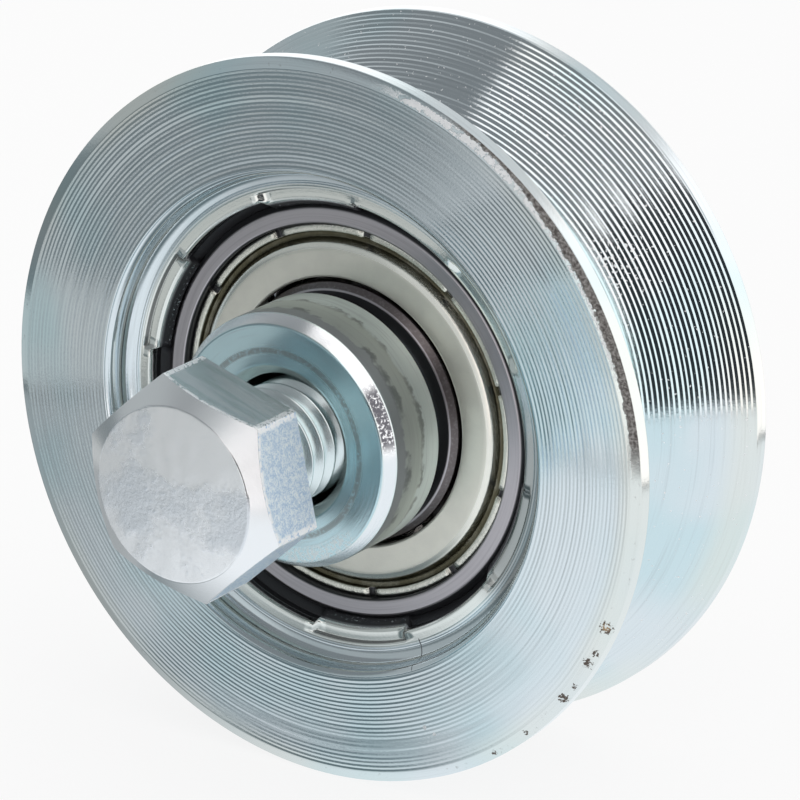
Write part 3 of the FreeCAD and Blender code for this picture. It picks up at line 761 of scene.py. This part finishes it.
class RAILWHEEL_OT_bearing(bpy.types.Operator):
    """Bearing rings, and the two pressed shields with their notched rims"""
    bl_idname = "rail_wheel.bearing"
    bl_label = "Bearing"

    def execute(self, context):
        s = context.scene.bearing_sizes
        steel = finish_called(ring_steel)
        champagne = finish_called(shield_steel)
        outer = lathe(outer_ring_profile(), s.steps)
        finished(outer, "bearing_outer_ring", "wheel_group", steel, 20.0)
        inner = lathe(inner_ring_profile(), s.steps)
        finished(inner, "bearing_inner_ring", "axle_group", steel, 20.0)
        start = math.degrees(s.notch_first) + 180.0 / s.steps
        for node in ("front_shield", "rear_shield"):
            bm = lathe(shield_profile(), s.steps, start)
            cut_notches(bm, s)
            if node == "rear_shield":
                mirror(bm)
            finished(bm, node, "wheel_group", champagne, 30.0)
        return {"FINISHED"}


class RAILWHEEL_OT_inside(bpy.types.Operator):
    """Finishes of the balls, the cage and its rivets"""
    bl_idname = "rail_wheel.inside"
    bl_label = "Balls and cage"

    def execute(self, context):
        ball = finish_called(ball_steel)
        cage = finish_called(cage_steel)
        for name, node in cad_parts.items():
            if name.startswith("bearing_ball"):
                wear(node, ball)
            elif name.startswith("cage"):
                wear(node, cage)
        return {"FINISHED"}


def wear(node, material):
    """Give a CAD node's mesh one material."""
    node.data.materials.clear()
    node.data.materials.append(material)


def bush_profile():
    """Stepped bush with a wide front chamfer, a collar, a neck and a spigot."""
    draw = random.Random(11)
    points = [(5.6, -14.1), (6.42, -14.93), (6.55, -14.99)]
    points += turning_marks((6.7, -15.0), (9.66, -15.0), 0.37, 0.006, draw)
    points += [(9.76, -14.98), (9.82, -14.92), (10.45, -13.98), (10.49, -13.9), (10.5, -13.8)]
    points += turning_marks((10.5, -13.7), (10.5, -8.3), 0.6, 0.004, draw)
    points += [(10.49, -8.12), (10.3, -7.92), (10.22, -7.9), (9.3, -7.9), (9.3, -6.25)]
    points += [(7.49, -6.25), (7.49, -1.1), (7.24, -0.85), (5.6, -0.85)]
    return points


class RAILWHEEL_OT_bushes(bpy.types.Operator):
    """The two stepped bushes"""
    bl_idname = "rail_wheel.bushes"
    bl_label = "Bushes"

    def execute(self, context):
        steps = context.scene.axle_sizes.steps
        zinc = finish_called(bush_zinc)
        for node in ("front_bush", "rear_bush"):
            bm = lathe(bush_profile(), steps)
            if node == "rear_bush":
                mirror(bm)
            finished(bm, node, "axle_group", zinc, 9.0)
        return {"FINISHED"}


# Angles of the first flats in degrees, cuts in a flat, and the rings of points on the head's disc
HEAD_TURN = -18.0
NUT_TURN = 12.0
FLAT_CUTS = 15
DISC_RINGS = (7.05, 6.9, 6.4, 5.8, 5.2, 4.6, 4.0, 3.4, 2.8, 2.2, 1.6, 1.0, 0.5)


def push_loop(bm, edges, move):
    """Extrude an edge loop, and put each new vertex where move sends it."""
    made = bmesh.ops.extrude_edge_only(bm, edges=edges)["geom"]
    for vert in made:
        if isinstance(vert, bmesh.types.BMVert):
            vert.co = move(vert.co)
    return [edge for edge in made if isinstance(edge, bmesh.types.BMEdge)]


def to_radius(radius, y, disc=NUT_DISC):
    """Move onto a circle about the disc's middle."""
    def move(co):
        out = Vector((co.x - disc[0], 0, co.z - disc[1])).normalized() * radius
        return Vector((disc[0] + out.x, y, disc[1] + out.z))
    return move


def hexagon_loop(bm, y, turn):
    """Loop of edges on a hexagon about the axle, each flat cut into short edges."""
    corner = HEX_FLATS / 2 / math.cos(math.pi / 6)
    made = bmesh.ops.create_circle(bm, cap_ends=False, radius=corner, segments=6)
    bmesh.ops.rotate(bm, verts=made["verts"], cent=(0, 0, 0), matrix=Matrix.Rotation(math.pi / 2, 3, "X"))
    bmesh.ops.rotate(bm, verts=made["verts"], cent=(0, 0, 0),
                     matrix=Matrix.Rotation(math.radians(-turn - 30), 3, "Y"))
    bmesh.ops.translate(bm, verts=made["verts"], vec=(0, y, 0))
    bmesh.ops.subdivide_edges(bm, edges=bm.edges, cuts=FLAT_CUTS, use_grid_fill=False)
    return list(bm.edges)


def onto_cone(y, direction, disc=NUT_DISC):
    """Move along the axle onto the cone round the disc; direction points into the metal."""
    def move(co):
        drop = max(0.0, math.hypot(co.x - disc[0], co.z - disc[1]) - disc[2]) * HEX_SLOPE
        return Vector((co.x, y + drop * direction, co.z))
    return move


def round_edges(bm, width):
    """Round the edges where faces meet at more than 20 degrees."""
    edges = [edge for edge in bm.edges if edge.calc_face_angle(0.0) > math.radians(20)]
    bmesh.ops.bevel(bm, geom=edges, offset=width, affect="EDGES", segments=2, profile=0.5, material=-1,
                    clamp_overlap=True)


def bolt_head(s):
    """Hexagon head with a chamfered front, a proud front disc and a plain underside."""
    step = HEAD_FRONT + HEAD_STEP
    bm = bmesh.new()
    back = hexagon_loop(bm, HEAD_UNDER, HEAD_TURN)
    side = push_loop(bm, back, onto_cone(step, 1, HEAD_DISC))
    face = push_loop(bm, side, to_radius(HEAD_DISC[2], step, HEAD_DISC))
    face = push_loop(bm, face, to_radius(HEAD_DISC[2] - 0.05, HEAD_FRONT + 0.02, HEAD_DISC))
    for radius in DISC_RINGS:
        face = push_loop(bm, face, to_radius(radius, HEAD_FRONT, HEAD_DISC))
    bmesh.ops.contextual_create(bm, geom=face)
    inner = push_loop(bm, back, to_radius(4.2, HEAD_UNDER))
    bmesh.ops.contextual_create(bm, geom=inner)
    bmesh.ops.recalc_face_normals(bm, faces=bm.faces)
    round_edges(bm, s.edge_round / MM)
    for vert in bm.verts:
        if vert.co.y < HEAD_FRONT + 0.01:
            vert.co.y += 0.03 * abs(noise.noise(vert.co / 2.1)) + 0.01 * noise.noise(vert.co / 0.9)
    tidy(bm)
    return bm


def add_thread(bm, s):
    """Screw thread turned along the axle, cut square at both ends and chamfered at the far one."""
    start, end = THREAD_ENDS
    pitch = s.thread_pitch / MM
    crest = THREAD_CREST
    root = crest - s.thread_depth / MM
    drawn_pitch = 1.5
    shape = [(root, 0.0), (root, 0.11), (root + 0.05, 0.19), (crest - 0.04, 0.655), (crest, 0.71)]
    shape += [(radius, drawn_pitch - y) for radius, y in reversed(shape)]
    turn_steps = 48
    turns = math.ceil((end - start) / pitch) + 2
    screw = bmesh.new()
    verts = [screw.verts.new((r, start - pitch + y * pitch / drawn_pitch, 0)) for r, y in shape]
    edges = [screw.edges.new(pair) for pair in zip(verts, verts[1:])]
    bmesh.ops.spin(screw, geom=verts + edges, cent=(0, 0, 0), axis=AXLE, dvec=AXLE * pitch / turn_steps,
                   angle=math.tau * turns, steps=turn_steps * turns, use_merge=False)
    bmesh.ops.remove_doubles(screw, verts=screw.verts, dist=0.002)
    for y, clear_low in ((start, True), (end, False)):
        bmesh.ops.bisect_plane(screw, geom=screw.verts[:] + screw.edges[:] + screw.faces[:],
                               plane_co=(0, y, 0), plane_no=AXLE, clear_inner=clear_low,
                               clear_outer=not clear_low)
        rim = [edge for edge in screw.edges if edge.is_boundary and abs(edge.verts[0].co.y - y) < 0.001
               and abs(edge.verts[1].co.y - y) < 0.001]
        bmesh.ops.holes_fill(screw, edges=rim)
    for vert in screw.verts:
        radius = math.hypot(vert.co.x, vert.co.z)
        limit = crest - 0.9 + (end - vert.co.y)
        if radius > limit:
            vert.co.x *= limit / radius
            vert.co.z *= limit / radius
    bmesh.ops.recalc_face_normals(screw, faces=screw.faces)
    mesh = bpy.data.meshes.new("thread")
    screw.to_mesh(mesh)
    screw.free()
    bm.from_mesh(mesh)
    bpy.data.meshes.remove(mesh)


def nut(s):
    """Hexagon nut, chamfered on both faces, with a countersunk bore."""
    bm = bmesh.new()
    middle = hexagon_loop(bm, sum(NUT_FACES) / 2, NUT_TURN)
    loops = []
    for y, way in zip(NUT_FACES, (1, -1)):
        loop = push_loop(bm, middle, onto_cone(y, way))
        for radius, depth in ((NUT_DISC[2], 0.0), (6.6, 0.0), (NUT_BORE + 0.45, 0.0), (NUT_BORE, 0.45)):
            loop = push_loop(bm, loop, to_radius(radius, y + depth * way))
        loops.append(loop)
    bmesh.ops.bridge_loops(bm, edges=loops[0] + loops[1])
    bmesh.ops.recalc_face_normals(bm, faces=bm.faces)
    round_edges(bm, s.edge_round / MM)
    tidy(bm)
    return bm


class RAILWHEEL_OT_bolt(bpy.types.Operator):
    """Axle bolt with its thread, and the nut"""
    bl_idname = "rail_wheel.bolt"
    bl_label = "Bolt and nut"

    def execute(self, context):
        s = context.scene.axle_sizes
        zinc = finish_called(bolt_zinc)
        bm = bolt_head(s)
        add_thread(bm, s)
        finished(bm, "axle_bolt", "axle_group", zinc, 10.0)
        finished(nut(s), "axle_nut", "axle_group", zinc, 10.0)
        return {"FINISHED"}


# Studio

# Middle of the wheel's front face, and where the camera sees it: to the right, up and away, in metres
FACE_CENTRE = Vector((0, -0.010, 0))
FACE_IN_VIEW = Vector((-0.006734, -0.002108, 0.374753))
SENSOR_WIDTH = 36.0
FLOOR_HALF = 4.0
KEY_PLACE = Vector((-0.25, -0.3, 0.7))
KEY_POWER = 1.2
KEY_SIZE = 0.5

# Light that metal mirrors: a white sweep at the right and behind, dark at the right front
SWEEP_FROM = math.radians(57)
WHITE = (1.32, 1.28, 1.27)
DARK = (0.030, 0.035, 0.040)
# Tones at the left and at the front, on the table near the wheel, far over it and above it
NEAR = ((0.58, 0.60, 0.60), (0.86, 0.88, 0.89))
FAR = ((0.205, 0.235, 0.245), (0.66, 0.68, 0.69))
HIGH = ((0.42, 0.45, 0.46), (0.64, 0.67, 0.68))
# Ceiling in front and behind
CEILING = (0.24, 0.255, 0.265)
CEILING_BACK = (0.70, 0.72, 0.73)
# White sheet on the table: tones at the right and at the left, in the wheel's shade and under its edge
SHEET_LIGHT = (0.92, 0.96, 0.99)
SHEET_DIM = (0.38, 0.405, 0.415)
SHEET_SHADE = (0.16, 0.20, 0.215)
EDGE_SHADE = (0.12, 0.14, 0.15)
# Where the sheet gives way to the shade under its edge, that to the near table, and that to the far table
SHEET_ENDS = (104.0, 100.0)
SHADE_ENDS = (109.0, 105.0)
NEAR_ENDS = (170.0, 196.0)


def aim(azimuth, elevation):
    """Unit vector at an angle from the front towards +X and up."""
    return Vector((math.sin(azimuth) * math.cos(elevation), -math.cos(azimuth) * math.cos(elevation),
                   math.sin(elevation)))


def surroundings(f, x, y, tones, lean=0.0):
    """Light by the direction over the floor; lean brings the dark part nearer the front."""
    white = x * math.cos(SWEEP_FROM) + y * math.sin(SWEEP_FROM)
    light = f.mix(*tones, f.rise(x, -0.46, -0.30))
    light = f.mix(light, WHITE, f.rise(x, -0.05, 0.25) * 0.8)
    light = f.mix(light, DARK, f.rise(x + lean, 0.41, 0.48))
    return f.mix(light, WHITE, f.rise(white, -0.03, 0.03))


def studio_world():
    """Surroundings by direction; the camera sees plain white."""
    world = bpy.data.worlds.new("studio")
    f = Finish(world)
    facing = f.node("ShaderNodeTexCoord", {}, {}, "Generated")
    x, y, up = f.node("ShaderNodeSeparateXYZ", {}, {0: facing}, ("X", "Y", "Z"))
    level = (x * x + y * y + 0.0001) ** 0.5
    low = surroundings(f, x / level, y / level, FAR)
    high = surroundings(f, x / level, y / level, HIGH, up * 0.4)
    light = f.mix(low, high, f.rise(up, 0.02, 0.10))
    above = f.mix(CEILING, WHITE, f.rise(x + up * 0.6, 0.66, 0.73))
    above = f.mix(above, CEILING_BACK, f.rise(y, 0.0, 0.35))
    light = f.mix(light, above, f.rise(up, 0.46, 0.55))
    light = f.mix(light, WHITE, f.rise(up, 0.975, 0.985))
    camera = f.node("ShaderNodeLightPath", {}, {}, "Is Camera Ray")
    light = f.mix(light, (1.0, 1.0, 1.0), camera)
    shader = f.node("ShaderNodeBackground", {}, {"Color": light, "Strength": 1.0})
    made = f.tree.nodes.new("ShaderNodeOutputWorld")
    f.tree.links.new(shader.socket, made.inputs["Surface"])
    bpy.context.scene.world = world


def floor_finish():
    """White sheet under the wheel; metal sees its edge, the wheel's shade on it and the table beyond it."""
    s = bpy.context.scene.stage_settings
    material = bpy.data.materials.new("floor")
    f = Finish(material)
    x, y = f.place()[1:3]
    camera, glossy = f.node("ShaderNodeLightPath", {}, {}, ("Is Camera Ray", "Is Glossy Ray"))
    lit = f.node("ShaderNodeBsdfDiffuse", {}, {"Color": rgba(s.floor)})
    white = f.node("ShaderNodeEmission", {}, {"Color": (1, 1, 1, 1), "Strength": 1.0})
    level = (x * x + y * y + 0.01) ** 0.5
    reach = level * (1 - f.rise(x, 30.0, 80.0) * f.rise(y, 30.0, 5.0) * 0.34)
    near = surroundings(f, x / level, y / level, NEAR)
    far = surroundings(f, x / level, y / level, FAR)
    table = f.mix(near, far, f.rise(reach, *NEAR_ENDS))
    table = f.mix(table, EDGE_SHADE, f.rise(reach, *SHADE_ENDS))
    shade = f.rise(y, -44.0, -22.0) * f.rise(y, -10.0, -16.0)
    shade = shade * f.rise(x, 16.0, 0.0) * f.rise(x, -34.0, -22.0)
    sheet = f.mix(SHEET_LIGHT, SHEET_DIM, f.rise(x - y * 0.5, 15.0, -30.0))
    sheet = f.mix(sheet, SHEET_SHADE, shade)
    tone = f.mix(table, sheet, f.rise(reach, *SHEET_ENDS))
    seen = f.node("ShaderNodeEmission", {}, {"Color": tone, "Strength": 1.0})
    shown = f.node("ShaderNodeMixShader", {}, {0: 0.15, 1: white, 2: lit})
    rest = f.node("ShaderNodeMixShader", {}, {0: glossy, 1: lit, 2: seen})
    f.output(f.node("ShaderNodeMixShader", {}, {0: camera, 1: rest, 2: shown}))
    return material


def add_floor(scene):
    """Level floor under the part."""
    bm = bmesh.new()
    bmesh.ops.create_grid(bm, x_segments=1, y_segments=1, size=FLOOR_HALF)
    bmesh.ops.translate(bm, verts=bm.verts, vec=(0, 0, CAD_BOX[0][2]))
    mesh = bpy.data.meshes.new("floor")
    bm.to_mesh(mesh)
    bm.free()
    mesh.materials.append(floor_finish())
    floor = bpy.data.objects.new("floor", mesh)
    scene.collection.objects.link(floor)


def add_camera(scene, s):
    """Camera that sees the wheel's front face as the photo shows it."""
    right = Vector((math.cos(s.azimuth), math.sin(s.azimuth), 0))
    back = aim(s.azimuth, s.elevation)
    up = back.cross(right)
    data = bpy.data.cameras.new("camera")
    data.lens = s.lens
    data.sensor_width = SENSOR_WIDTH
    data.clip_start = 0.01
    camera = bpy.data.objects.new("camera", data)
    scene.collection.objects.link(camera)
    offset = right * FACE_IN_VIEW.x + up * FACE_IN_VIEW.y - back * FACE_IN_VIEW.z
    turn = Matrix((right, up, back)).transposed().to_4x4()
    camera.matrix_world = Matrix.Translation(FACE_CENTRE - offset) @ turn
    scene.camera = camera


def add_key_light(scene):
    """Soft light from above the left front, which metal doesn't mirror."""
    light = bpy.data.lights.new("key", "AREA")
    light.energy = KEY_POWER
    light.size = KEY_SIZE
    key = bpy.data.objects.new("key", light)
    key.location = KEY_PLACE
    key.rotation_euler = (-KEY_PLACE).to_track_quat("-Z", "Y").to_euler()
    key.visible_glossy = False
    scene.collection.objects.link(key)


class RAILWHEEL_OT_stage(bpy.types.Operator):
    """Pale floor, soft light and the camera"""
    bl_idname = "rail_wheel.stage"
    bl_label = "Stage"

    def execute(self, context):
        scene = context.scene
        add_floor(scene)
        studio_world()
        add_camera(scene, scene.stage_settings)
        add_key_light(scene)
        scene.view_settings.view_transform = "Standard"
        return {"FINISHED"}


OPERATORS = (RAILWHEEL_OT_stage, RAILWHEEL_OT_wheel, RAILWHEEL_OT_bearing, RAILWHEEL_OT_inside,
             RAILWHEEL_OT_bushes, RAILWHEEL_OT_bolt)
GROUPS = {
    "wheel_sizes": WheelSizes,
    "bearing_sizes": BearingSizes,
    "axle_sizes": AxleSizes,
    "finishes": Finishes,
    "stage_settings": StageSettings,
}


class RAILWHEEL_PT_panel(bpy.types.Panel):
    """Sizes, colours and pieces of the rail wheel"""
    bl_idname = "RAILWHEEL_PT_panel"
    bl_label = "Rail wheel"
    bl_space_type = "VIEW_3D"
    bl_region_type = "UI"
    bl_category = "Rail wheel"

    def draw(self, context):
        for group in GROUPS:
            box = self.layout.box()
            settings = getattr(context.scene, group)
            for name in settings.__annotations__:
                box.prop(settings, name)
        for operator in OPERATORS:
            self.layout.operator(operator.bl_idname)


def register():
    for group, kind in GROUPS.items():
        bpy.utils.register_class(kind)
        setattr(bpy.types.Scene, group, PointerProperty(type=kind))
    for kind in OPERATORS + (RAILWHEEL_PT_panel,):
        bpy.utils.register_class(kind)


def unregister():
    for kind in reversed(OPERATORS + (RAILWHEEL_PT_panel,)):
        bpy.utils.unregister_class(kind)
    for group, kind in reversed(GROUPS.items()):
        delattr(bpy.types.Scene, group)
        bpy.utils.unregister_class(kind)


def main():
    register()
    bpy.ops.rail_wheel.stage()
    bpy.ops.rail_wheel.wheel()
    bpy.ops.rail_wheel.bearing()
    bpy.ops.rail_wheel.inside()
    bpy.ops.rail_wheel.bushes()
    bpy.ops.rail_wheel.bolt()


if __name__ == "__main__":
    main()
